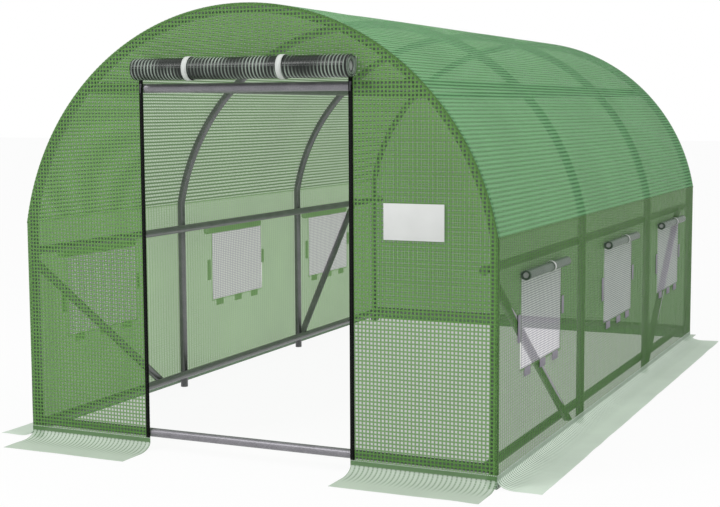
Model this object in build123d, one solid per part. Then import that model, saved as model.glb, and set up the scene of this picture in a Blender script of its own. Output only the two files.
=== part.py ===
from build123d import *
from math import atan2, cos, degrees, radians, sin, sqrt
import os

# A walk-in polytunnel greenhouse: steel hoops and rails under a cover of
# reinforced film, with a rolled-up door, roll-up windows and ground skirts.
# Millimetres. X runs across, the door faces -Y, Z is up, the ground is Z = 0
# and the origin is the middle of the footprint.

# Cover
width = 2320.0
length = 4000.0
height = 2000.0
eave_height = 1030.0
hem_height = 60.0
film = 2.0
roof_strips = 8

# Tubes
tube_radius = 20.0
tube_sides = 10
bend_radius = 160.0

# The gap between pieces that rest on each other
seat = 0.3

# Frame layout
inner_hoops_y = (-675.0, 740.0)
mid_rail_height = 895.0
base_bar_height = 80.0
header_drop = 360.0
purlin_angle = 48.0
front_brace_top = 838.0
front_brace_foot_y = -920.0
back_brace_top_y = 1620.0
back_brace_foot_y = 790.0

# Doorway
door_width = 1005.0
door_drop = 310.0
zip_width = 20.0
zip_thickness = 3.0
door_roll_radius = 50.0
door_roll_drop = 278.0
door_roll_length = 1047.0
door_roll_shift = 18.5
roll_core_radius = 14.0
roll_gap = 7.0
tie_width = 26.0
tie_thickness = 2.0
door_tie_spacing = 456.0

# Windows
window_width = 590.0
window_sill = 445.0
window_head = 832.0
window_centres_y = (-1403.0, -20.0, 1238.0)
net_thickness = 1.0
window_roll_radius = 23.0
window_roll_length = 620.0
window_roll_height = 849.0

# Skirts
hem_band = 22.0
front_skirt_reach = 225.0
side_skirt_reach = 190.0

# Worked out from the sizes above
header_height = height - header_drop
door_head = height - door_drop
door_roll_height = height - door_roll_drop
half_width = width / 2
half_length = length / 2
rise = height - eave_height
cover_radius = (half_width**2 + rise**2) / (2 * rise)
arc_z = height - cover_radius
eave_angle = degrees(atan2(eave_height - arc_z, half_width))
tube_inset = film + seat + tube_radius
hoop_radius = cover_radius - tube_inset
leg_x = half_width - tube_inset
end_hoop_y = half_length - tube_inset
kink_z = arc_z + sqrt(hoop_radius**2 - leg_x**2)
crossing = 2 * tube_radius + seat
rail_x = leg_x - crossing
hoops_y = (-end_hoop_y, *inner_hoops_y, end_hoop_y)
ends_y = (-end_hoop_y, end_hoop_y)
rail_length = 2 * (end_hoop_y + tube_radius)
inner_rail_length = 2 * (end_hoop_y - tube_radius - seat)
base_bar_length = 2 * (leg_x - tube_radius - seat)
wall_top = arc_z + (cover_radius - film) * sin(radians(eave_angle)) - seat
panel_edge = half_width - film - seat
door_left = -door_width / 2
door_right = door_width / 2
door_roll_y = -half_length - tie_thickness - 2 * seat - door_roll_radius
window_roll_x = half_width + seat + window_roll_radius


def polar(radius, angle):
    """Point of the tunnel's cross-section at an angle up from +X."""
    return radius * cos(radians(angle)), arc_z + radius * sin(radians(angle))


def both_sides(pieces):
    """The right-hand pieces and their mirror images on the left."""
    return pieces + [mirror(piece, about=Plane.YZ) for piece in pieces]


def along_x(radius, span, y, z, x=0.0):
    return Pos(x, y, z) * Rot(0, 90, 0) * Cylinder(radius, span)


def along_y(radius, span, x, z, y=0.0):
    return Pos(x, y, z) * Rot(90, 0, 0) * Cylinder(radius, span)


def save(name, pieces):
    """One STEP file per node, named after it."""
    node = pieces[0] if len(pieces) == 1 else Compound(children=pieces)
    export_step(node, f"parts/{name}.step")


# Hoops: two straight legs, a gentle bend at the eave and one round arch
def hoop(y):
    right_leg = Line((leg_x, 0), (leg_x, kink_z))
    arch = ThreePointArc((leg_x, kink_z), (0, arc_z + hoop_radius), (-leg_x, kink_z))
    left_leg = Line((-leg_x, kink_z), (-leg_x, 0))
    outline = Wire([right_leg, arch, left_leg])
    kinks = [v for v in outline.vertices() if v.Y > eave_height / 2]
    path = Plane.XZ * outline.fillet_2d(bend_radius, kinks)
    section = Plane(origin=path @ 0, x_dir=(1, 0, 0), z_dir=path % 0)
    return Pos(0, y, 0) * sweep(section * RegularPolygon(tube_radius, tube_sides), path=path)


# Header bars: each end is cut along the inside of the arch that it meets
def header_bar(y):
    inside = along_y(hoop_radius - tube_radius - seat, 4 * tube_radius, 0, arc_z, y)
    return along_x(tube_radius, width, y, header_height) & inside


# Braces: slanting tubes between two legs, cut upright at the legs and level
# at the hem of the cover and at the top of the mid rail
def brace(first_leg_y, second_leg_y, low, high):
    slope = (0, high[0] - low[0], high[1] - low[1])
    slant = Plane(origin=(leg_x, *low), x_dir=(1, 0, 0), z_dir=slope)
    bay = second_leg_y - first_leg_y
    tube = slant * Cylinder(tube_radius, 4 * bay)
    tall = mid_rail_height + tube_radius - hem_height
    room = Box(crossing, bay - crossing - seat, tall)
    return tube & (Pos(leg_x, first_leg_y + bay / 2, hem_height + tall / 2) * room)


# Roof: curved strips of film side by side from eave to eave
def roof_strip(start, stop):
    inner = cover_radius - film
    middle = (start + stop) / 2
    face = make_face([
        ThreePointArc(polar(cover_radius, start), polar(cover_radius, middle), polar(cover_radius, stop)),
        Line(polar(cover_radius, stop), polar(inner, stop)),
        ThreePointArc(polar(inner, stop), polar(inner, middle), polar(inner, start)),
        Line(polar(inner, start), polar(cover_radius, start)),
    ])
    return extrude(Plane.XZ * face, length / 2, both=True)


# Side walls: straight film below the eave, with the window openings
def side_wall():
    tall = wall_top - hem_height
    wall = Pos(half_width - film / 2, 0, hem_height + tall / 2) * Box(film, length, tall)
    opening_height = window_head - window_sill
    for y in window_centres_y:
        opening = Box(4 * film, window_width, opening_height)
        wall -= Pos(half_width, y, window_sill + opening_height / 2) * opening
    return wall


# End panels: film under the arch, between two upright lines
def end_panel(left, right, bottom):
    edge_radius = cover_radius - film - seat
    corner_z = arc_z + sqrt(edge_radius**2 - panel_edge**2)
    outline = make_face([
        Line((-panel_edge, hem_height), (panel_edge, hem_height)),
        Line((panel_edge, hem_height), (panel_edge, corner_z)),
        ThreePointArc((panel_edge, corner_z), (0, arc_z + edge_radius), (-panel_edge, corner_z)),
        Line((-panel_edge, corner_z), (-panel_edge, hem_height)),
    ])
    span = right - left
    tall = height - bottom
    window = Pos((left + right) / 2, bottom + tall / 2) * Rectangle(span, tall)
    face = outline & window
    return extrude(Plane.XZ * face, film)


# Skirts: a hem band, a quarter turn outwards and a flat apron on the ground
def skirt_profile(reach):
    turn_z = hem_height - hem_band
    inside = turn_z - film
    mid = sqrt(0.5)
    outer_mid = (inside - inside * mid, turn_z - inside * mid)
    under_mid = (inside - turn_z * mid, turn_z - turn_z * mid)
    return make_face([
        Line((0, hem_height), (0, turn_z)),
        ThreePointArc((0, turn_z), outer_mid, (inside, film)),
        Line((inside, film), (reach, film)),
        Line((reach, film), (reach, 0)),
        Line((reach, 0), (inside, 0)),
        ThreePointArc((inside, 0), under_mid, (-film, turn_z)),
        Line((-film, turn_z), (-film, hem_height)),
        Line((-film, hem_height), (0, hem_height)),
    ])


def side_skirt():
    profile = Plane.XZ * (Pos(half_width, 0) * skirt_profile(side_skirt_reach))
    return extrude(profile, half_length, both=True)


def end_skirt(left, right, reach):
    """Skirt of the front wall: the profile turned to face -Y."""
    upright = Plane(origin=(right, -half_length, 0), x_dir=(0, -1, 0), z_dir=(-1, 0, 0))
    return extrude(upright * skirt_profile(reach), right - left)


# Rolls: one length of film wound in half turns round an open core
def wound_film(outer_radius, core_radius):
    pitch = film + roll_gap
    turns = int(2 * (outer_radius - core_radius) / pitch)
    middle = outer_radius - film / 2
    outside = []
    inside = []
    for turn in range(turns):
        radius = middle - turn * pitch / 2
        centre = -pitch / 2 if turn % 2 else 0.0
        side = -1 if turn % 2 else 1
        for edges, r in ((outside, radius + film / 2), (inside, radius - film / 2)):
            start = (centre + side * r, 0)
            top = (centre, side * r)
            stop = (centre - side * r, 0)
            edges.append(ThreePointArc(start, top, stop))
    first = Line(outside[0] @ 0, inside[0] @ 0)
    last = Line(outside[-1] @ 1, inside[-1] @ 1)
    return make_face([*outside, last, *inside, first])


def door_roll():
    section = wound_film(door_roll_radius, roll_core_radius)
    start = (door_roll_shift - door_roll_length / 2, door_roll_y, door_roll_height)
    plane = Plane(origin=start, x_dir=(0, 1, 0), z_dir=(1, 0, 0))
    return extrude(plane * section, door_roll_length)


def window_roll(y):
    """A tight roll of film."""
    return along_y(window_roll_radius, window_roll_length, window_roll_x, window_roll_height, y)


def door_tie(x):
    """Band round the door roll."""
    ring = Cylinder(door_roll_radius + seat + tie_thickness, tie_width)
    ring -= Cylinder(door_roll_radius + seat, 2 * tie_width)
    return Pos(x, door_roll_y, door_roll_height) * Rot(0, 90, 0) * ring


os.makedirs("parts", exist_ok=True)

hoop_names = ("hoop_front", "hoop_inner_front", "hoop_inner_back", "hoop_back")
for name, y in zip(hoop_names, hoops_y):
    save(name, [hoop(y)])

purlin_at = polar(hoop_radius - crossing, purlin_angle)
purlin = along_y(tube_radius, inner_rail_length, *purlin_at)
base_rail = along_y(tube_radius, inner_rail_length, rail_x, base_bar_height)
save("mid_rails", both_sides([along_y(tube_radius, rail_length, rail_x, mid_rail_height)]))
save("base_rails", both_sides([base_rail]))
save("purlins", both_sides([purlin]))
save("header_bars", [header_bar(y) for y in ends_y])
save("base_bars", [along_x(tube_radius, base_bar_length, y, base_bar_height) for y in ends_y])

front_low = (front_brace_foot_y, base_bar_height)
front_high = (hoops_y[0], front_brace_top)
back_low = (back_brace_foot_y, base_bar_height)
back_high = (back_brace_top_y, mid_rail_height)
braces = [
    brace(hoops_y[0], hoops_y[1], front_low, front_high),
    brace(hoops_y[2], hoops_y[3], back_low, back_high),
]
save("braces_right", braces)
save("braces_left", [mirror(piece, about=Plane.YZ) for piece in braces])

strip_angle = (180 - 2 * eave_angle) / roof_strips
for number in range(roof_strips):
    start = eave_angle + number * strip_angle
    save(f"roof_cover_{number + 1}", [roof_strip(start, start + strip_angle)])
save("wall_right", [side_wall()])
save("wall_left", [mirror(side_wall(), about=Plane.YZ)])
front = Pos(0, -half_length + film, 0)
save("front_panel_left", [front * end_panel(-panel_edge, door_left, hem_height)])
save("front_panel_right", [front * end_panel(door_right, panel_edge, hem_height)])
save("front_panel_top", [front * end_panel(door_left, door_right, door_head)])
save("back_panel", [Pos(0, half_length, 0) * end_panel(-panel_edge, panel_edge, hem_height)])

save("skirt_front_left", [end_skirt(-panel_edge, door_left, front_skirt_reach)])
save("skirt_front_right", [end_skirt(door_right, panel_edge, front_skirt_reach)])
back_skirt = end_skirt(-panel_edge, panel_edge, front_skirt_reach)
save("skirt_back", [mirror(back_skirt, about=Plane.XZ)])
save("skirt_right", [side_skirt()])
save("skirt_left", [mirror(side_skirt(), about=Plane.YZ)])

zip_height = door_head - hem_height
zips = []
for x in (door_left - zip_width / 2, door_right + zip_width / 2):
    place = Pos(x, -half_length - zip_thickness / 2, hem_height + zip_height / 2)
    zips.append(place * Box(zip_width, zip_thickness, zip_height))
save("door_zips", zips)
save("door_roll", [door_roll()])
save("door_ties", [door_tie(-door_tie_spacing / 2), door_tie(door_tie_spacing / 2)])

net_x = half_width - film / 2
net_middle_z = (window_sill + window_head) / 2
net_height = window_head - window_sill - 2 * seat
net = Box(net_thickness, window_width - 2 * seat, net_height)
nets = [Pos(net_x, y, net_middle_z) * net for y in window_centres_y]
rolls = [window_roll(y) for y in window_centres_y]
save("window_nets_right", nets)
save("window_nets_left", [mirror(piece, about=Plane.YZ) for piece in nets])
save("window_rolls_right", rolls)
save("window_rolls_left", [mirror(piece, about=Plane.YZ) for piece in rolls])
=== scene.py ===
from math import atan2, ceil, cos, pi, radians, sin, sqrt

import bmesh
import bpy
from bmesh.types import BMEdge, BMFace, BMVert
from mathutils import Matrix, Vector, noise


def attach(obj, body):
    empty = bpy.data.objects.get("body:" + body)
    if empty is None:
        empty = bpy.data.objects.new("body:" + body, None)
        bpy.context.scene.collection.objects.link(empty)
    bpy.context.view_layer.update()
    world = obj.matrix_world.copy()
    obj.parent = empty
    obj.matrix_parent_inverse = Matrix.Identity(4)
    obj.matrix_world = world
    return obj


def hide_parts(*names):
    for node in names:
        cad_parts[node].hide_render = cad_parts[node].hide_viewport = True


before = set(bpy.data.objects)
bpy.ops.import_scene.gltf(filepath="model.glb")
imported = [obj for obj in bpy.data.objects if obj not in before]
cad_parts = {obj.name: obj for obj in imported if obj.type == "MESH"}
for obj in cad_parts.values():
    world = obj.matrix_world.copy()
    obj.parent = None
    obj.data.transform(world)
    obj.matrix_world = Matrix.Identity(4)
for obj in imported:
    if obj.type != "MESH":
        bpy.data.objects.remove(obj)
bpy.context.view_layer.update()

# Sizes of the tunnel, in metres, as in the part
half_width = 1.16
half_length = 2.0
ridge = 2.0
eave = 1.03
hem = 0.06
film = 0.002
seat = 0.0003
tube_radius = 0.02
bend_radius = 0.16
hoops_y = (-1.9777, -0.675, 0.740, 1.9777)
door_half = 0.5025
door_head = 1.690
door_roll_radius = 0.05
door_roll_gap = 0.0026
door_roll_z = 1.722
door_roll_length = 1.047
door_roll_shift = 0.0185
windows_y = (-1.403, -0.020, 1.238)
window_width = 0.590
window_sill = 0.445
window_head = 0.832
window_roll_radius = 0.023
window_roll_length = 0.620
window_roll_z = 0.849
hem_band = 0.022
front_reach = 0.225
side_reach = 0.190

# Sizes of what the scene adds to the part
arch_hem_width = 0.010
narrow_hem_width = 0.009
hem_lift = 0.0004
foot_hem_lift = 0.0006
trim_lift = 0.0012
trim_thickness = 0.0016
strap_lift = 0.0004
skirt_turn = 0.085
flap_half = 0.045
flap_inset = 0.0014
flap_foot = 0.001
door_core_radius = 0.0225
window_core_radius = 0.0125
zip_x = door_half + 0.010
tooth_pitch = 0.007
tooth_end = 0.004
tooth_stagger = 0.0012
slider_z = 1.652

# Lengths and angles that follow from them
rise = ridge - eave
cover_radius = (half_width**2 + rise**2) / (2 * rise)
arch_z = ridge - cover_radius
eave_angle = atan2(eave - arch_z, half_width)
tube_inset = film + seat + tube_radius
hoop_radius = cover_radius - tube_inset
leg_x = half_width - tube_inset
panel_edge = half_width - film - seat
panel_radius = cover_radius - film - seat
panel_corner = arch_z + sqrt(panel_radius**2 - panel_edge**2)
panel_corner_angle = atan2(panel_corner - arch_z, panel_edge)
door_roll_y = -half_length - door_roll_gap - door_roll_radius
window_roll_x = half_width + seat + window_roll_radius
tunnel_middle = Vector((0, 0, 1.0))
across_tunnel = Matrix.Rotation(pi / 2, 4, "Y")
along_tunnel = Matrix.Rotation(pi / 2, 4, "X")

# How finely the pieces are divided
skirt_steps = 40
rows_per_turn = 28
tube_segments = 24
bend_steps = 4
arch_steps = 72

# How soft the edge of a thread is, and how much of its pitch a stitch takes
thread_softness = 0.14
stitch_share = 0.66


def paint(red, green, blue):
    """A colour from its screen values, as light."""
    light = []
    for part in (red / 255, green / 255, blue / 255):
        light.append(part / 12.92 if part <= 0.04045 else ((part + 0.055) / 1.055) ** 2.4)
    return light + [1.0]


# Shader nodes
def feed(tree, socket, value):
    """Sets the socket to a number or a colour, or links another socket to it."""
    if isinstance(value, (int, float, list)):
        socket.default_value = value
    else:
        tree.links.new(value, socket)


def feed_named(tree, node, **values):
    for label, value in values.items():
        feed(tree, node.inputs[label.replace("_", " ")], value)


def maths(tree, operation, *values):
    node = tree.nodes.new("ShaderNodeMath")
    node.operation = operation
    for socket, value in zip(node.inputs, values):
        feed(tree, socket, value)
    return node.outputs[0]


def fade(tree, value, start, stop):
    """0 at start and 1 at stop, with a soft step between."""
    node = tree.nodes.new("ShaderNodeMapRange")
    node.interpolation_type = "SMOOTHSTEP"
    feed_named(tree, node, Value=value, From_Min=start, From_Max=stop)
    return node.outputs["Result"]


def clouds(tree, where, scale, detail, distortion=0.0):
    node = tree.nodes.new("ShaderNodeTexNoise")
    feed_named(tree, node, Vector=where, Scale=scale, Detail=detail, Distortion=distortion)
    return node.outputs[0]


def split_axes(tree, vector):
    node = tree.nodes.new("ShaderNodeSeparateXYZ")
    tree.links.new(vector, node.inputs[0])
    return node.outputs


def bump(tree, height, strength, distance):
    node = tree.nodes.new("ShaderNodeBump")
    feed_named(tree, node, Height=height, Strength=strength, Distance=distance)
    return node


def seen_by(tree, *rays):
    """1 on the named kinds of ray and 0 on the rest."""
    path = tree.nodes.new("ShaderNodeLightPath")
    seen = path.outputs[rays[0]]
    for ray in rays[1:]:
        seen = maths(tree, "MAXIMUM", seen, path.outputs[ray])
    return seen


# Shader groups: the thread grid of the film, a row of stitches, slow mottling
def new_group(name, vector, numbers, outputs):
    """A shader group that takes one vector, then numbers with their usual values."""
    group = bpy.data.node_groups.new(name, "ShaderNodeTree")
    group.interface.new_socket(vector, in_out="INPUT", socket_type="NodeSocketVector")
    for label, value in numbers.items():
        socket = group.interface.new_socket(label, in_out="INPUT", socket_type="NodeSocketFloat")
        socket.default_value = value
    for label in outputs:
        group.interface.new_socket(label, in_out="OUTPUT", socket_type="NodeSocketFloat")
    return group, group.nodes.new("NodeGroupInput"), group.nodes.new("NodeGroupOutput")


def thread_grid():
    """Threads both ways over a flat cut, 1 on a thread and 0 on the pane between."""
    numbers = {
        "Pitch Along": 0.017,
        "Pitch Across": 0.017,
        "Thread Along": 0.4,
        "Thread Across": 0.4,
        "Unevenness": 0.1,
    }
    outputs = ("Lengthwise", "Crosswise", "Threads", "Height")
    group, enter, leave = new_group("thread_grid", "Flat", numbers, outputs)
    flat = enter.outputs["Flat"]
    wander = maths(group, "SUBTRACT", clouds(group, flat, 9.0, 3.0), 0.5)
    shift = maths(group, "MULTIPLY", wander, enter.outputs["Unevenness"])
    lines = []
    for distance, way in zip(split_axes(group, flat), ("Along", "Across")):
        thread = enter.outputs["Thread " + way]
        steps = maths(group, "DIVIDE", distance, enter.outputs["Pitch " + way])
        steps = maths(group, "ADD", steps, shift)
        middle = maths(group, "SUBTRACT", maths(group, "FRACT", steps), 0.5)
        away = maths(group, "MULTIPLY", maths(group, "ABSOLUTE", middle), 2.0)
        outer = maths(group, "ADD", thread, thread_softness)
        inner = maths(group, "SUBTRACT", thread, thread_softness)
        lines.append(fade(group, away, outer, inner))
    threads = maths(group, "MAXIMUM", *lines)
    height = maths(group, "ADD", *lines)
    for label, value in zip(outputs, (*lines, threads, height)):
        group.links.new(value, leave.inputs[label])
    return group


def stitch_row():
    """Dashes along one row of a strip."""
    numbers = {"Row": 0.01, "Pitch": 0.008, "Thick": 0.0012}
    group, enter, leave = new_group("stitch_row", "Flat", numbers, ["Stitch"])
    along, across = split_axes(group, enter.outputs["Flat"])[:2]
    away = maths(group, "ABSOLUTE", maths(group, "SUBTRACT", across, enter.outputs["Row"]))
    on_row = maths(group, "LESS_THAN", away, enter.outputs["Thick"])
    steps = maths(group, "FRACT", maths(group, "DIVIDE", along, enter.outputs["Pitch"]))
    dash = maths(group, "LESS_THAN", steps, stitch_share)
    group.links.new(maths(group, "MULTIPLY", on_row, dash), leave.inputs["Stitch"])
    return group


def mottle():
    """Slow clouds between a low and a high number near 1."""
    numbers = {"Scale": 3.0, "Low": 0.9, "High": 1.1}
    group, enter, leave = new_group("mottle", "Place", numbers, ["Shade"])
    cloud = clouds(group, enter.outputs["Place"], enter.outputs["Scale"], 5.0)
    spread = group.nodes.new("ShaderNodeMapRange")
    low, high = enter.outputs["Low"], enter.outputs["High"]
    feed_named(group, spread, Value=cloud, From_Min=0.3, From_Max=0.7, To_Min=low, To_Max=high)
    group.links.new(spread.outputs[0], leave.inputs["Shade"])
    return group


grid_group = thread_grid()
stitch_group = stitch_row()
mottle_group = mottle()


def use(tree, group, **values):
    node = tree.nodes.new("ShaderNodeGroup")
    node.node_tree = group
    feed_named(tree, node, **values)
    return node


# Parts of a material
def new_material(name, roughness=0.5, **plain):
    material = bpy.data.materials.new(name)
    material.use_nodes = True
    tree = material.node_tree
    shader = tree.nodes["Principled BSDF"]
    feed_named(tree, shader, Roughness=roughness, **plain)
    return material, tree, shader


def read_uv(tree):
    node = tree.nodes.new("ShaderNodeUVMap")
    node.uv_map = "flat"
    return node.outputs[0]


def read_place(tree):
    return tree.nodes.new("ShaderNodeTexCoord").outputs["Object"]


def slow_shade(tree, scale, low, high):
    return use(tree, mottle_group, Place=read_place(tree), Scale=scale, Low=low, High=high).outputs[0]


def blend_colours(tree, share, low, high):
    node = tree.nodes.new("ShaderNodeMix")
    node.data_type = "RGBA"
    for slot, value in ((0, share), (6, low), (7, high)):
        feed(tree, node.inputs[slot], value)
    return node.outputs[2]


def shade_colour(tree, colour, shade):
    """A colour made lighter or darker by a number near 1."""
    node = tree.nodes.new("ShaderNodeVectorMath")
    node.operation = "SCALE"
    tree.links.new(colour, node.inputs[0])
    tree.links.new(shade, node.inputs["Scale"])
    return node.outputs[0]


def raise_surface(tree, shader, height, strength, distance):
    tree.links.new(bump(tree, height, strength, distance).outputs[0], shader.inputs["Normal"])


# Materials
def film_material(name, outside, inside, outer_alpha, inner_alpha, pitches, shares, weak=1.0, creases=1.0,
                  gloss=0.0, glow=0.0, plain_from=None):
    """Clear film laid on a grid of woven threads.

    Colours and alphas are pairs, for thread and pane. The inner face gets a painted
    glow, an emission standing in for the daylight that passes through the film, and
    its own colours, painted as the film looks with daylight behind it."""
    material, tree, shader = new_material(name, Specular_IOR_Level=gloss)
    flat = read_uv(tree)
    grid = use(tree, grid_group, Flat=flat, Pitch_Along=pitches[0], Pitch_Across=pitches[1],
               Thread_Along=shares[0], Thread_Across=shares[1], Unevenness=0.12)
    mild = maths(tree, "MULTIPLY", grid.outputs["Crosswise"], weak)
    threads = maths(tree, "MAXIMUM", grid.outputs["Lengthwise"], mild)
    if plain_from:
        down = split_axes(tree, flat)[1]
        threads = maths(tree, "MAXIMUM", threads, fade(tree, down, *plain_from))
    facing = tree.nodes.new("ShaderNodeNewGeometry").outputs["Backfacing"]
    outer = blend_colours(tree, threads, outside[1], outside[0])
    # painted light: the inner face has its own colours, as the film looks with daylight shining through it
    # from behind
    inner = blend_colours(tree, threads, inside[1], inside[0])
    colour = blend_colours(tree, facing, outer, inner)
    slow = slow_shade(tree, 2.2, 0.93, 1.07)
    # painted glow: the inner face's colour is given out as light through Emission, and the outer face
    # gives none
    painted_glow_colour = blend_colours(tree, facing, paint(0, 0, 0), inner)
    outer_share = maths(tree, "MULTIPLY_ADD", threads, outer_alpha[0] - outer_alpha[1], outer_alpha[1])
    inner_share = maths(tree, "MULTIPLY_ADD", threads, inner_alpha[0] - inner_alpha[1], inner_alpha[1])
    change = maths(tree, "SUBTRACT", inner_share, outer_share)
    feed_named(
        tree, shader,
        Base_Color=shade_colour(tree, colour, slow),
        Emission_Color=shade_colour(tree, painted_glow_colour, slow),
        Emission_Strength=glow,
        Alpha=maths(tree, "MULTIPLY_ADD", facing, change, outer_share),
        Roughness=maths(tree, "MULTIPLY_ADD", threads, 0.20, 0.32),
    )
    crumple = clouds(tree, read_place(tree), 7.0, 4.0, 0.8)
    folds = bump(tree, crumple, 0.25 * creases, 0.02)
    weave = bump(tree, grid.outputs["Height"], 0.3, 0.0006)
    tree.links.new(folds.outputs[0], weave.inputs["Normal"])
    tree.links.new(weave.outputs[0], shader.inputs["Normal"])
    return material


def rolled_material(name, light, dark, pitch, share, contrast, least, gloss):
    """Wound film, whose threads show as rings that come and go along the roll."""
    material, tree, shader = new_material(name, Specular_IOR_Level=gloss)
    flat = read_uv(tree)
    grid = use(tree, grid_group, Flat=flat, Pitch_Along=pitch, Pitch_Across=pitch,
               Thread_Along=share, Thread_Across=0.2, Unevenness=0.08)
    strength = fade(tree, clouds(tree, flat, 5.5, 1.0), 0.38, 0.64)
    depth = maths(tree, "MULTIPLY_ADD", strength, contrast, least)
    rings = maths(tree, "MULTIPLY", grid.outputs["Lengthwise"], depth)
    colour = blend_colours(tree, rings, dark, light)
    feed_named(
        tree, shader,
        Base_Color=shade_colour(tree, colour, slow_shade(tree, 9.0, 0.9, 1.08)),
        Roughness=maths(tree, "MULTIPLY_ADD", rings, 0.2, 0.26),
    )
    raise_surface(tree, shader, grid.outputs["Height"], 0.5, 0.0008)
    return material


def hem_material(name, colour, alpha, row, stitch):
    """Film folded double, with a row of stitches."""
    material, tree, shader = new_material(name, roughness=0.45, Specular_IOR_Level=0.1)
    flat = read_uv(tree)
    grid = use(tree, grid_group, Flat=flat, Pitch_Along=0.006, Pitch_Across=0.006,
               Thread_Along=0.4, Thread_Across=0.4, Unevenness=0.1)
    dark = [c * 0.84 for c in colour[:3]] + [1.0]
    base = blend_colours(tree, grid.outputs["Threads"], dark, colour)
    base = shade_colour(tree, base, slow_shade(tree, 6.0, 0.93, 1.07))
    sewn = use(tree, stitch_group, Flat=flat, Row=row, Pitch=0.009, Thick=0.0013).outputs[0]
    feed_named(
        tree, shader,
        Base_Color=blend_colours(tree, sewn, base, stitch),
        Alpha=maths(tree, "MULTIPLY_ADD", sewn, 1 - alpha, alpha),
    )
    raise_surface(tree, shader, maths(tree, "ADD", grid.outputs["Height"], sewn), 0.4, 0.0006)
    return material


def steel_material():
    material, tree, shader = new_material("galvanised_tube", roughness=0.36, Metallic=0.3)
    slow = slow_shade(tree, 14.0, 0.86, 1.1)
    spangle = tree.nodes.new("ShaderNodeTexVoronoi")
    feed_named(tree, spangle, Vector=read_place(tree), Scale=160.0)
    flecks = maths(tree, "MULTIPLY_ADD", spangle.outputs["Distance"], 0.25, 0.88)
    tone = blend_colours(tree, flecks, paint(104, 102, 107), paint(134, 132, 138))
    feed_named(
        tree, shader,
        Base_Color=shade_colour(tree, tone, maths(tree, "MULTIPLY", slow, flecks)),
        Roughness=maths(tree, "MULTIPLY_ADD", slow, 0.25, 0.12),
    )
    raise_surface(tree, shader, spangle.outputs["Distance"], 0.06, 0.0004)
    return material


def plain_material(name, colour, roughness, scale, depth, low=0.9, high=1.1, **plain):
    """One colour with a fine grain."""
    material, tree, shader = new_material(name, roughness=roughness, **plain)
    slow = slow_shade(tree, scale, low, high)
    tone = blend_colours(tree, 1.0, colour, colour)
    feed_named(
        tree, shader,
        Base_Color=shade_colour(tree, tone, slow),
        Roughness=maths(tree, "MULTIPLY", slow, roughness),
    )
    raise_surface(tree, shader, slow, depth, 0.0005)
    return material


# The inside colours of each film are painted light: the film as it looks lit from behind by daylight
front_film = film_material(
    "front_film",
    outside=(paint(98, 144, 74), paint(52, 76, 54)),
    inside=(paint(112, 142, 100), paint(84, 128, 78)),
    outer_alpha=(0.92, 0.46), inner_alpha=(0.92, 0.60),
    pitches=(0.0172, 0.0172), shares=(0.42, 0.42), gloss=0.2, glow=0.6)
roof_film = film_material(
    "roof_film",
    outside=(paint(124, 176, 128), paint(50, 116, 54)),
    inside=(paint(92, 120, 80), paint(128, 163, 114)),
    outer_alpha=(0.90, 0.60), inner_alpha=(0.96, 0.64),
    pitches=(0.0200, 0.0160), shares=(0.50, 0.36), weak=0.75, gloss=0.002, glow=0.65)
wall_film = film_material(
    "wall_film",
    outside=(paint(90, 132, 72), paint(68, 106, 52)),
    inside=(paint(116, 148, 100), paint(120, 152, 104)),
    outer_alpha=(0.84, 0.69), inner_alpha=(0.90, 0.72),
    pitches=(0.0260, 0.0130), shares=(0.46, 0.34), weak=0.6, gloss=0.02, glow=0.65)
skirt_weave = {
    "inside": (paint(184, 206, 188), paint(150, 176, 150)),
    "outer_alpha": (0.88, 0.80),
    "inner_alpha": (0.88, 0.80),
    "pitches": (0.0210, 0.0120),
    "shares": (0.66, 0.46),
    "weak": 0.5,
    "creases": 0.6,
}
# painted light: a lighter copy of the skirt film, for the side skirts and corner flaps that catch more
# light
skirt_film = film_material(
    "skirt_film", outside=(paint(216, 232, 216), paint(118, 150, 118)),
    plain_from=(0.04, 0.15), **skirt_weave)
# painted shade: a darker copy of the same skirt film, for the end skirts that lie more in shade
end_skirt_film_painted_shade = film_material(
    "end_skirt_film_painted_shade", outside=(paint(190, 206, 188), paint(104, 138, 98)),
    plain_from=(0.06, 0.19), **skirt_weave)
net_mesh = film_material(
    "insect_net",
    outside=(paint(116, 110, 128), paint(244, 244, 246)),
    inside=(paint(150, 144, 160), paint(244, 244, 246)),
    outer_alpha=(0.80, 0.50), inner_alpha=(0.80, 0.50),
    pitches=(0.0200, 0.0105), shares=(0.30, 0.30), creases=0.2)
rolled_film = rolled_material(
    "rolled_door_film", light=paint(154, 168, 156), dark=paint(19, 26, 21),
    pitch=0.01675, share=0.38, contrast=0.98, least=0.02, gloss=0.3)
rolled_flap = rolled_material(
    "rolled_window_film", light=paint(112, 128, 112), dark=paint(86, 102, 88),
    pitch=0.0130, share=0.40, contrast=0.2, least=0.2, gloss=0.08)
white_thread = paint(214, 224, 214)
edge_hem = hem_material("edge_hem", paint(98, 144, 76), alpha=0.60, row=0.030, stitch=paint(120, 164, 104))
foot_hem = hem_material("foot_hem", paint(104, 146, 90), alpha=0.74, row=0.020, stitch=white_thread)
side_hem = hem_material("side_foot_hem", paint(184, 204, 184), alpha=0.62, row=0.020, stitch=white_thread)
steel = steel_material()
zip_tape = plain_material(
    "zip_tape", paint(14, 16, 14), roughness=0.8, scale=400.0, depth=0.3, Specular_IOR_Level=0.1)
zip_teeth = plain_material(
    "zip_teeth", paint(16, 16, 18), roughness=0.4, scale=300.0, depth=0.1, Specular_IOR_Level=0.2)
tie_webbing = plain_material("tie_webbing", paint(206, 210, 206), roughness=0.75, scale=500.0, depth=0.4)
plate_white = plain_material(
    "name_plate", paint(218, 220, 218), roughness=0.35, scale=12.0, depth=0.05, low=0.97, high=1.02)
roll_core = plain_material("roll_core", paint(166, 168, 168), roughness=0.5, scale=90.0, depth=0.1)
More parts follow.
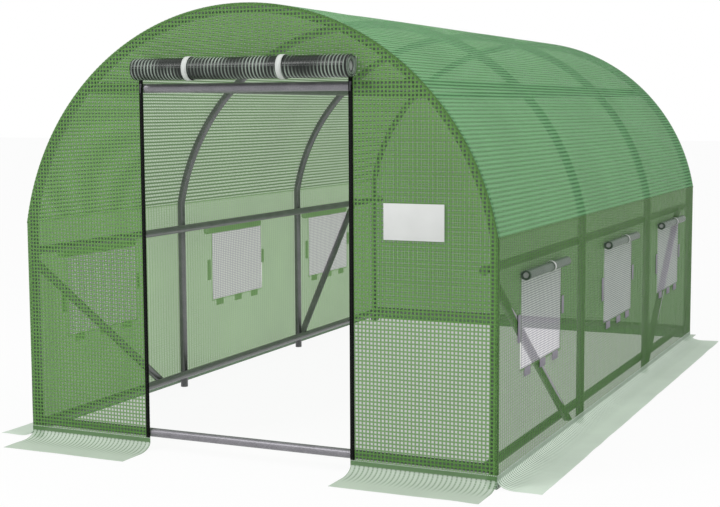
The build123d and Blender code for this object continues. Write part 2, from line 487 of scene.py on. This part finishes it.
hook_tape = plain_material("hook_tape", paint(144, 140, 150), roughness=0.95, scale=700.0, depth=0.8)
slider_metal = plain_material(
    "slider_metal", paint(70, 70, 74), roughness=0.35, scale=300.0, depth=0.1, Metallic=0.6)


# Making pieces
def add_piece(name, bm, material, nodes=()):
    mesh = bpy.data.meshes.new(name)
    bm.to_mesh(mesh)
    bm.free()
    mesh.materials.append(material)
    mesh.shade_smooth()
    piece = bpy.data.objects.new(name, mesh)
    bpy.context.scene.collection.objects.link(piece)
    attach(piece, "root")
    if nodes:
        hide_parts(*nodes)
    return piece


def only(kind, geom):
    return [part for part in geom if isinstance(part, kind)]


def flatten_ends(piece):
    """Shades the four-sided faces round and leaves the end faces flat."""
    faces = piece.data.polygons
    faces.foreach_set("use_smooth", [len(face.vertices) == 4 for face in faces])


def flat_cloth(width, length, across, along):
    """A cut of film that lies flat, from the corner at 0, 0."""
    bm = bmesh.new()
    bmesh.ops.create_grid(bm, x_segments=across, y_segments=along, size=0.5)
    bmesh.ops.translate(bm, vec=(0.5, 0.5, 0), verts=bm.verts)
    bmesh.ops.scale(bm, vec=(width, length, 1), verts=bm.verts)
    return bm


def flat_area(bm):
    return sum(face.calc_area() for face in bm.faces)


def cut_opening(bm, left, right, low, high):
    """Cuts a rectangle out of a cloth that still lies flat."""
    for point, direction in (
        ((left, 0, 0), (1, 0, 0)),
        ((right, 0, 0), (1, 0, 0)),
        ((0, low, 0), (0, 1, 0)),
        ((0, high, 0), (0, 1, 0)),
    ):
        everything = bm.verts[:] + bm.edges[:] + bm.faces[:]
        bmesh.ops.bisect_plane(bm, geom=everything, dist=1e-6, plane_co=point, plane_no=direction)
    inside = []
    for face in bm.faces:
        middle = face.calc_center_median()
        if left < middle.x < right and low < middle.y < high:
            inside.append(face)
    bmesh.ops.delete(bm, geom=inside, context="FACES")


def hang(bm, place, centre=tunnel_middle):
    """Keeps the flat cut as the UV map, moves every point to its place and turns the faces outward."""
    flat = bm.loops.layers.uv.new("flat")
    for face in bm.faces:
        for loop in face.loops:
            loop[flat].uv = loop.vert.co.xy
    for vert in bm.verts:
        vert.co = place(vert.co.x, vert.co.y)
    bm.normal_update()
    facing = 0
    for face in bm.faces:
        facing += face.normal.dot(face.calc_center_median() - centre) * face.calc_area()
    if facing < 0:
        bmesh.ops.reverse_faces(bm, faces=bm.faces)
    return bm


def bay_slack(y):
    """0 at a hoop and 1 half way between two hoops."""
    for first, second in zip(hoops_y, hoops_y[1:]):
        if first <= y <= second:
            share = (y - first) / (second - first)
            return 4 * share * (1 - share)
    return 0.0


def ripple(x, y, seed, scale, size):
    return size * noise.noise(Vector((x, y, seed)) * scale)


# Film of the roof and the walls
def make_roof():
    radius = cover_radius - film / 2
    span = radius * (pi - 2 * eave_angle)
    bm = flat_cloth(span, 2 * half_length, 120, 120)

    def place(along_arc, run):
        angle = eave_angle + along_arc / radius
        y = run - half_length
        slack = bay_slack(y) * sin(pi * along_arc / span)
        sag = 0.0008 * slack + ripple(along_arc, y, seed=3.0, scale=2.6, size=0.0026) * slack
        r = radius - max(sag, 0.0)
        return Vector((r * cos(angle), y, arch_z + r * sin(angle)))

    strips = [f"roof_cover_{number}" for number in range(1, 9)]
    roof = add_piece("roof_film", hang(bm, place), roof_film, strips)


def make_wall(side, name, node):
    tall = eave - hem
    bm = flat_cloth(2 * half_length, tall, 150, 40)
    for y in windows_y:
        left = y + half_length - window_width / 2
        right = y + half_length + window_width / 2
        cut_opening(bm, left, right, window_sill - hem, window_head - hem)

    def place(run, up):
        y = run - half_length
        slack = bay_slack(y) * sin(pi * up / tall)
        inward = 0.004 * slack + ripple(y, up, seed=side, scale=3.0, size=0.004) * slack
        return Vector((side * (half_width - film / 2 - max(inward, 0.0)), y, hem + up))

    wall = add_piece(name, hang(bm, place), wall_film, [node])


def under_arch(x):
    return arch_z + sqrt(panel_radius**2 - x**2)


def end_cloth():
    """The cut of an end wall, with x from the middle and y up from the ground."""
    bm = flat_cloth(2 * panel_edge, 1.0, 92, 76)
    for vert in bm.verts:
        x = vert.co.x - panel_edge
        vert.co = Vector((x, hem + vert.co.y * (under_arch(x) - hem), 0))
    return bm


def make_front():
    bm = end_cloth()
    cut_opening(bm, -door_half, door_half, 0, door_head)
    area = flat_area(bm)

    def place(x, z):
        held = min(1.0, (under_arch(x) - z) * 4, abs(abs(x) - door_half) * 4 if z < door_head else 1.0)
        bulge = ripple(x, z, seed=7.0, scale=3.4, size=0.005) * max(held, 0.0)
        return Vector((x, -half_length + film / 2 - max(bulge, -0.0008), z))

    front = add_piece("front_wall_film", hang(bm, place), front_film,
                      ["front_panel_left", "front_panel_right", "front_panel_top"])


def make_back():
    bm = end_cloth()
    area = flat_area(bm)

    def place(x, z):
        held = min(1.0, (under_arch(x) - z) * 4)
        bulge = ripple(x, z, seed=17.0, scale=2.8, size=0.006) * max(held, 0.0)
        return Vector((x, half_length - film / 2 + max(bulge, -0.0008), z))

    back = add_piece("back_wall_film", hang(bm, place), front_film, ["back_panel"])


# Skirts: down from the hem, a quarter turn and out over the ground
def skirt_point(share, reach):
    """How far out and how high the skirt is, from 0 at its top edge to 1 at its outer edge."""
    turn_drop = hem - hem_band - film / 2
    if share < 0.1:
        return 0.0, hem - hem_band * share / 0.1
    if share < 0.5:
        angle = (share - 0.1) / 0.4 * pi / 2
        return skirt_turn * (1 - cos(angle)), film / 2 + turn_drop * (1 - sin(angle))
    return skirt_turn + (reach - skirt_turn) * (share - 0.5) / 0.5, film / 2


def skirt_rows(reach):
    """The skirt's length down from its top edge at each row of its mesh."""
    rows = [0.0]
    for row in range(1, skirt_steps + 1):
        before = Vector(skirt_point((row - 1) / skirt_steps, reach))
        rows.append(rows[-1] + (Vector(skirt_point(row / skirt_steps, reach)) - before).length)
    return rows


def make_skirt(name, node, run, reach, place_on_wall, seed, material):
    rows = skirt_rows(reach)
    bm = flat_cloth(run, 1.0, ceil(run / 0.03), skirt_steps)
    for vert in bm.verts:
        vert.co.y = rows[round(vert.co.y * skirt_steps)]

    def place(along, down):
        row = min(range(skirt_steps + 1), key=lambda number: abs(rows[number] - down))
        out, z = skirt_point(row / skirt_steps, reach)
        held = min(1.0, max(0.0, out - 0.03) * 8)
        lift = max(0.0, ripple(along * 1.4, down, seed, scale=3.2, size=0.006)) * held
        return place_on_wall(along, out - film / 2, z + lift)

    skirt = add_piece(name, hang(bm, place, Vector((0, 0, -9.0))), material, [node])


def make_skirts():
    front_run = panel_edge - door_half
    for name, node, start, side, run, seed in (
        ("front_skirt_left_film", "skirt_front_left", -panel_edge, -1, front_run, 1.0),
        ("front_skirt_right_film", "skirt_front_right", door_half, -1, front_run, 2.0),
        ("back_skirt_film", "skirt_back", -panel_edge, 1, 2 * panel_edge, 3.0),
    ):
        def place_at_end(along, out, z):
            return Vector((start + along, side * (half_length + out), z))

        make_skirt(name, node, run, front_reach, place_at_end, seed, end_skirt_film_painted_shade)
    for name, node, side, seed in (
        ("right_skirt_film", "skirt_right", 1, 4.0),
        ("left_skirt_film", "skirt_left", -1, 5.0),
    ):
        def place_at_side(along, out, z):
            return Vector((side * (half_width + out), along - half_length, z))

        make_skirt(name, node, 2 * half_length, side_reach, place_at_side, seed, skirt_film)


def make_corner_flaps():
    """Film folded round each corner below the hem, in front of the foot of the hoop."""
    tall = hem - flap_foot
    for x_side, y_side, label, hoop in (
        (1, -1, "front_right", "hoop_front"),
        (-1, -1, "front_left", "hoop_front"),
        (1, 1, "back_right", "hoop_back"),
        (-1, 1, "back_left", "hoop_back"),
    ):
        bm = flat_cloth(2 * flap_half, tall, 24, 6)

        def place(along, up):
            x = half_width - flap_inset - max(flap_half - along, 0.0)
            y = half_length - flap_inset - max(along - flap_half, 0.0)
            return Vector((x_side * x, y_side * y, flap_foot + up))

        flap = add_piece(f"corner_flap_{label}", hang(bm, place), skirt_film)


# Rolls of film
def wound_angle(length, outer, pitch):
    return (outer - sqrt(max(outer**2 - pitch * length / pi, 0.0))) * 2 * pi / pitch


def wound_length(turns, outer, pitch):
    angle = turns * 2 * pi
    return outer * angle - pitch * angle**2 / (4 * pi)


def rolled_cloth(width, lead, turns, outer, pitch, cells, to_place):
    """A cloth that hangs down from the wall by its lead and is then wound inward, turn on turn."""
    wound = wound_length(turns, outer, pitch)
    bm = flat_cloth(width, lead + wound, cells, int(turns * rows_per_turn) + 6)

    def place(along, run):
        if run < lead:
            return to_place(along, outer, lead - run)
        angle = wound_angle(run - lead, outer, pitch)
        r = outer - pitch * angle / (2 * pi)
        slack = ripple(along * 2, angle * 0.4, seed=outer, scale=3.0, size=0.002)
        r -= max(0.0, slack) * min(1.0, angle)
        return to_place(along, r * cos(angle), -r * sin(angle))

    return bm, place, lead + wound


def thicken(piece, thickness):
    layer = piece.modifiers.new("film_thickness", "SOLIDIFY")
    layer.thickness = thickness
    layer.offset = -1.0


def make_rod(bm, radius, span, middle, turn):
    bmesh.ops.create_cone(bm, cap_ends=True, segments=28, radius1=radius, radius2=radius, depth=span,
                          matrix=Matrix.Translation(middle) @ turn)


def make_door_roll():
    middle = Vector((0, door_roll_y, door_roll_z))

    def to_place(along, toward_wall, up):
        x = door_roll_shift + along - door_roll_length / 2
        return Vector((x, door_roll_y + toward_wall, door_roll_z + up))

    bm, place, length = rolled_cloth(
        door_roll_length, lead=0.040, turns=7, outer=door_roll_radius - 0.001, pitch=0.0036, cells=72,
        to_place=to_place)
    roll = add_piece("door_roll_film", hang(bm, place, middle), rolled_film, ["door_roll"])
    thicken(roll, 0.0018)
    core = bmesh.new()
    core_middle = (door_roll_shift, door_roll_y, door_roll_z)
    make_rod(core, door_core_radius, door_roll_length - 0.012, core_middle, across_tunnel)
    flatten_ends(add_piece("door_roll_core", core, roll_core))


def make_window_rolls(side, label, node):
    cores = bmesh.new()
    for number, y in enumerate(windows_y, 1):
        middle = Vector((side * window_roll_x, y, window_roll_z))
        make_rod(cores, window_core_radius, window_roll_length - 0.008, middle, along_tunnel)

        def to_place(along, toward_wall, up):
            x = side * (window_roll_x - toward_wall)
            return Vector((x, y + along - window_roll_length / 2, window_roll_z + up))

        bm, place, length = rolled_cloth(
            window_roll_length, lead=0.012, turns=3.5, outer=window_roll_radius - 0.0008, pitch=0.0024,
            cells=36, to_place=to_place)
        name = f"window_roll_{label}_{number}"
        roll = add_piece(name, hang(bm, place, middle), rolled_flap, [node])
        thicken(roll, 0.0014)
    flatten_ends(add_piece(f"window_roll_cores_{label}", cores, roll_core))


def make_nets(side, label, node):
    wide = window_width - 2 * seat
    tall = window_head - window_sill - 2 * seat
    for number, y in enumerate(windows_y, 1):
        bm = flat_cloth(wide, tall, 20, 14)

        def place(run, up):
            sag = 0.004 * sin(pi * run / wide) * sin(pi * up / tall)
            x = side * (half_width - film / 2 - sag)
            return Vector((x, y - wide / 2 + run, window_sill + seat + up))

        net = add_piece(f"net_{label}_{number}", hang(bm, place), net_mesh, [node])


# Hems: strips of doubled film along the edges
def strip_run(point):
    """How far round the arch a point of the edge is, from the right foot."""
    leg = panel_corner - hem
    if point.z < panel_corner and point.x > 0:
        return point.z - hem
    if point.z < panel_corner:
        return leg + panel_radius * (pi - 2 * panel_corner_angle) + panel_corner - point.z
    return leg + panel_radius * (atan2(point.z - arch_z, point.x) - panel_corner_angle)


def arch_band(name, y, width):
    """A strip up one side of an end wall, round under the arch and down the other side."""
    inner = panel_radius - width
    bm = bmesh.new()
    foot = [bm.verts.new((panel_edge, y, hem)), bm.verts.new((panel_edge - width, y, hem))]
    legs = bmesh.ops.extrude_edge_only(bm, edges=[bm.edges.new(foot)])["geom"]
    rim = sorted(only(BMVert, legs), key=lambda vert: -vert.co.x)
    rim[0].co = (panel_edge, y, panel_corner)
    rim[1].co = (inner * cos(panel_corner_angle), y, arch_z + inner * sin(panel_corner_angle))
    edge = next(part for part in only(BMEdge, legs) if set(part.verts) == set(rim))
    last = bmesh.ops.spin(
        bm, geom=rim + [edge], cent=(0, y, arch_z), axis=(0, -1, 0), angle=pi - 2 * panel_corner_angle,
        steps=arch_steps, use_duplicate=False)["geom_last"]
    legs = bmesh.ops.extrude_edge_only(bm, edges=only(BMEdge, last)[:1])["geom"]
    foot = sorted(only(BMVert, legs), key=lambda vert: vert.co.x)
    foot[0].co = (-panel_edge, y, hem)
    foot[1].co = (-panel_edge + width, y, hem)
    flat = bm.loops.layers.uv.new("flat")
    for face in bm.faces:
        for loop in face.loops:
            point = loop.vert.co
            across = panel_radius - sqrt(point.x**2 + (point.z - arch_z) ** 2)
            if point.z < panel_corner - 0.01:
                across = panel_edge - abs(point.x)
            loop[flat].uv = (strip_run(point), across)
    bm.normal_update()
    if bm.faces[:][0].normal.y * y < 0:
        bmesh.ops.reverse_faces(bm, faces=bm.faces)
    add_piece(name, bm, edge_hem)


def straight_band(name, length, width, place, material):
    bm = flat_cloth(length, width, max(2, ceil(length / 0.05)), 2)
    add_piece(name, hang(bm, place), material)


def make_side_hems(side, label):
    x = side * (half_width + hem_lift)
    for name, width, top, material in (
        ("eave_hem", narrow_hem_width, eave, edge_hem),
        ("foot_hem", hem_band, hem, side_hem),
    ):
        def place(along, up):
            return Vector((x, along - half_length, top - width + up))

        straight_band(f"{name}_{label}", 2 * half_length, width, place, material)


def make_end_foot_hems():
    front_y = -half_length - foot_hem_lift
    for label, left, right, y in (
        ("front_left", -panel_edge, -door_half, front_y),
        ("front_right", door_half, panel_edge, front_y),
        ("back", -panel_edge, panel_edge, half_length + foot_hem_lift),
    ):
        def place(along, up):
            return Vector((left + along, y, hem - hem_band + up))

        straight_band(f"foot_hem_{label}", right - left, hem_band, place, foot_hem)


def make_window_frame(side, label, number, y):
    """The doubled edge round a window opening."""
    width = narrow_hem_width
    wide = window_width + 2 * width
    tall = window_head - window_sill + 2 * width
    bm = flat_cloth(wide, tall, 24, 18)
    cut_opening(bm, width, wide - width, width, tall - width)
    x = side * (half_width + hem_lift)

    def place(along, up):
        return Vector((x, y - wide / 2 + along, window_sill - width + up))

    add_piece(f"window_frame_{label}_{number}", hang(bm, place), edge_hem)


def make_hems():
    arch_band("front_arch_hem", -half_length - hem_lift, arch_hem_width)
    arch_band("back_arch_hem", half_length + hem_lift, arch_hem_width)
    for side, label in ((1, "right"), (-1, "left")):
        make_side_hems(side, label)
        for number, y in enumerate(windows_y, 1):
            make_window_frame(side, label, number, y)
    make_end_foot_hems()


# Steel tubes
def make_tubes(name, node):
    """The straight tubes of a node with their long faces shaded round."""
    bm = bmesh.new()
    bm.from_mesh(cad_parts[node].data)
    bmesh.ops.remove_doubles(bm, verts=bm.verts, dist=0.00002)
    for edge in bm.edges:
        edge.smooth = edge.is_manifold and edge.calc_face_angle(pi) < radians(38)
    add_piece(name, bm, steel, [node])


def make_hoop(name, node, y):
    """One tube: up a leg, round the tight bend, over the arch and down again."""
    bend_x = leg_x - bend_radius
    bend_z = arch_z + sqrt((hoop_radius - bend_radius) ** 2 - bend_x**2)
    bend = atan2(bend_z - arch_z, bend_x)
    bm = bmesh.new()
    bmesh.ops.create_circle(bm, segments=tube_segments, radius=tube_radius)
    bmesh.ops.translate(bm, vec=(leg_x, y, 0), verts=bm.verts)
    lifted = bmesh.ops.extrude_edge_only(bm, edges=bm.edges[:])["geom"]
    corners = only(BMVert, lifted)
    bmesh.ops.translate(bm, vec=(0, 0, bend_z), verts=corners)
    ring = [edge for edge in only(BMEdge, lifted) if all(vert in corners for vert in edge.verts)]
    section = corners + ring
    for centre, angle, steps in (
        ((bend_x, y, bend_z), bend, bend_steps),
        ((0, y, arch_z), pi - 2 * bend, arch_steps),
        ((-bend_x, y, bend_z), bend, bend_steps),
    ):
        section = bmesh.ops.spin(bm, geom=section, cent=centre, axis=(0, -1, 0), angle=angle, steps=steps,
                                 use_duplicate=False)["geom_last"]
    lowered = bmesh.ops.extrude_edge_only(bm, edges=only(BMEdge, section))["geom"]
    bmesh.ops.translate(bm, vec=(0, 0, -bend_z), verts=only(BMVert, lowered))
    bmesh.ops.holes_fill(bm, edges=[edge for edge in bm.edges if edge.is_boundary], sides=tube_segments)
    bmesh.ops.recalc_face_normals(bm, faces=bm.faces)
    flatten_ends(add_piece(name, bm, steel, [node]))


# Trim of the door and the windows
def make_box(bm, middle, size):
    bmesh.ops.create_cube(bm, size=1.0, matrix=Matrix.Translation(middle) @ Matrix.Diagonal((*size, 1.0)))


def soften(bm, width, segments):
    bmesh.ops.bevel(bm, geom=bm.edges[:], offset=width, affect="EDGES", segments=segments, profile=0.5,
                    material=-1)


def make_zip_tapes():
    tapes = bmesh.new()
    tall = door_head - hem
    for side in (-1, 1):
        middle = (side * zip_x, -half_length - 0.0011, hem + tall / 2)
        make_box(tapes, middle, (0.020, 0.0018, tall))
    soften(tapes, 0.0004, 1)
    add_piece("zip_tapes", tapes, zip_tape, ["door_zips"])


def make_zip_chains():
    """Teeth that stand to the left and to the right by turns."""
    teeth = bmesh.new()
    tall = door_head - hem
    count = int(tall / tooth_pitch)
    for side in (-1, 1):
        for number in range(count):
            x = side * zip_x + (tooth_stagger if number % 2 else -tooth_stagger)
            z = hem + tooth_end + number * (tall - 2 * tooth_end) / (count - 1)
            make_box(teeth, (x, -half_length - 0.0026, z), (0.0062, 0.0020, 0.0032))
    add_piece("zip_chains", teeth, zip_teeth)


def make_zip_sliders():
    """A body, a bridge and a pull on each zip."""
    sliders = bmesh.new()
    for side in (-1, 1):
        for out, z, size in (
            (0.0046, slider_z, (0.011, 0.0030, 0.016)),
            (0.0068, slider_z, (0.003, 0.0016, 0.009)),
            (0.0074, slider_z - 0.018, (0.007, 0.0014, 0.030)),
        ):
            make_box(sliders, (side * zip_x, -half_length - out, z), size)
    soften(sliders, 0.0005, 2)
    add_piece("zip_sliders", sliders, slider_metal)


def strap_ring(bm, radius, width, thickness, middle, turn):
    """A band of webbing round a roll."""
    matrix = Matrix.Translation(middle) @ turn
    start = matrix @ Matrix.Translation((0, 0, -width / 2))
    made = bmesh.ops.create_circle(bm, segments=48, radius=radius, matrix=start)
    edges = list({edge for vert in made["verts"] for edge in vert.link_edges})
    wide = bmesh.ops.extrude_edge_only(bm, edges=edges)["geom"]
    bmesh.ops.translate(bm, vec=(matrix.to_3x3() @ Vector((0, 0, width))), verts=only(BMVert, wide))
    faces = only(BMFace, wide)
    bmesh.ops.recalc_face_normals(bm, faces=faces)
    bmesh.ops.solidify(bm, geom=faces, thickness=-thickness)


def make_door_ties():
    bm = bmesh.new()
    for x in (-0.228, 0.228):
        strap_ring(bm, door_roll_radius + strap_lift, 0.026, 0.0016, (x, door_roll_y, door_roll_z),
                   across_tunnel)
    add_piece("door_tie_straps", bm, tie_webbing, ["door_ties"])


def make_window_ties(side, label):
    bm = bmesh.new()
    for y in windows_y:
        middle = (side * window_roll_x, y + 0.055, window_roll_z)
        strap_ring(bm, window_roll_radius + strap_lift, 0.016, 0.0012, middle, along_tunnel)
    add_piece(f"window_tie_straps_{label}", bm, tie_webbing)


def make_plate():
    bm = bmesh.new()
    make_box(bm, (0.7961, -half_length - 0.0066, 1.082), (0.269, 0.0012, 0.152))
    soften(bm, 0.0005, 2)
    add_piece("bare_plate", bm, plate_white)


def make_window_trim(side, label):
    """Hook tape beside each window and the tabs under its sill."""
    tapes = bmesh.new()
    tabs = bmesh.new()
    x = side * (half_width + trim_lift)
    for y in windows_y:
        for offset, low, high in ((-0.324, 0.564, 0.682), (0.324, 0.602, 0.684)):
            make_box(tapes, (x, y + offset, (low + high) / 2), (trim_thickness, 0.034, high - low))
        for offset in (-0.207, 0.013, 0.210):
            make_box(tabs, (x, y + offset, 0.425), (trim_thickness, 0.084, 0.037))
    for name, bm in (("hook_tapes", tapes), ("sill_tabs", tabs)):
        soften(bm, 0.0004, 1)
        add_piece(f"{name}_{label}", bm, hook_tape)


# The tunnel, piece by piece
for name, node in (
    ("mid_rail_tubes", "mid_rails"),
    ("base_rail_tubes", "base_rails"),
    ("purlin_tubes", "purlins"),
    ("header_tubes", "header_bars"),
    ("base_bar_tubes", "base_bars"),
    ("brace_tubes_left", "braces_left"),
    ("brace_tubes_right", "braces_right"),
):
    make_tubes(name, node)
for name, node, y in zip(
    ("front_hoop_tube", "inner_front_hoop_tube", "inner_back_hoop_tube", "back_hoop_tube"),
    ("hoop_front", "hoop_inner_front", "hoop_inner_back", "hoop_back"),
    hoops_y,
):
    make_hoop(name, node, y)
make_roof()
make_wall(1, "wall_film_right", "wall_right")
make_wall(-1, "wall_film_left", "wall_left")
make_front()
make_back()
make_skirts()
make_corner_flaps()
make_door_roll()
make_hems()
make_zip_tapes()
make_zip_chains()
make_zip_sliders()
make_door_ties()
make_plate()
for side, label in ((1, "right"), (-1, "left")):
    make_window_rolls(side, label, f"window_rolls_{label}")
    make_nets(side, label, f"window_nets_{label}")
    make_window_ties(side, label)
    make_window_trim(side, label)


# Floor, light and camera
def make_floor():
    """A floor that keeps the shadow and is otherwise as white as the world."""
    bm = bmesh.new()
    bmesh.ops.create_grid(bm, x_segments=1, y_segments=1, size=60)
    mesh = bpy.data.meshes.new("studio_floor")
    bm.to_mesh(mesh)
    bm.free()
    material, tree, shader = new_material(
        "studio_floor", roughness=0.9, Base_Color=[0.92, 0.92, 0.92, 1.0], Specular_IOR_Level=0.0)
    light = tree.nodes.new("ShaderNodeEmission")
    light.inputs["Strength"].default_value = 1.0
    share = maths(tree, "MULTIPLY", seen_by(tree, "Is Camera Ray", "Is Glossy Ray"), 0.93)
    mix = tree.nodes.new("ShaderNodeMixShader")
    for slot, value in enumerate((share, shader.outputs[0], light.outputs[0])):
        tree.links.new(value, mix.inputs[slot])
    tree.links.new(mix.outputs[0], tree.nodes["Material Output"].inputs["Surface"])
    mesh.materials.append(material)
    floor = bpy.data.objects.new("studio_floor", mesh)
    bpy.context.scene.collection.objects.link(floor)


def make_world():
    """White where it is seen, and dimmer as a light."""
    world = bpy.data.worlds.new("studio")
    world.use_nodes = True
    tree = world.node_tree
    plain = tree.nodes["Background"]
    plain.inputs["Color"].default_value = (1, 1, 1, 1)
    seen = seen_by(tree, "Is Camera Ray", "Is Glossy Ray", "Is Transmission Ray")
    tree.links.new(maths(tree, "MULTIPLY_ADD", seen, 0.36, 0.64), plain.inputs["Strength"])
    bpy.context.scene.world = world


def make_lights():
    for name, place, power, size in (
        ("key_light", (-3.0, -6.5, 5.5), 190.0, 2.4),
        ("fill_light", (3.2, -2.6, 6.6), 110.0, 3.0),
    ):
        lamp = bpy.data.lights.new(name, "AREA")
        lamp.energy = power
        lamp.size = size
        ob = bpy.data.objects.new(name, lamp)
        ob.location = place
        ob.rotation_euler = (tunnel_middle - Vector(place)).to_track_quat("-Z", "Y").to_euler()
        bpy.context.scene.collection.objects.link(ob)


def make_camera():
    """The camera of the photo, worked out from the tunnel's lines in it."""
    yaw, pitch, roll = (radians(angle) for angle in (24.4285, -5.9383, -0.2648))
    focal_length_pixels = 1376.8
    photo_width_pixels = 720
    ahead = Vector((-sin(yaw) * cos(pitch), cos(yaw) * cos(pitch), sin(pitch)))
    right = ahead.cross(Vector((0, 0, 1))).normalized()
    up = right.cross(ahead)
    right, up = right * cos(roll) + up * sin(roll), up * cos(roll) - right * sin(roll)
    lens = bpy.data.cameras.new("photo_camera")
    lens.sensor_width = 36.0
    lens.lens = focal_length_pixels * lens.sensor_width / photo_width_pixels
    camera = bpy.data.objects.new("photo_camera", lens)
    turn = Matrix((right, up, -ahead)).transposed().to_4x4()
    camera.matrix_world = Matrix.Translation((2.9172, -7.2075, 1.5392)) @ turn
    bpy.context.scene.collection.objects.link(camera)
    bpy.context.scene.camera = camera


make_floor()
make_world()
make_lights()
make_camera()
scene = bpy.context.scene
scene.view_settings.view_transform = "Standard"
scene.cycles.transparent_max_bounces = 32
scene.cycles.max_bounces = 12
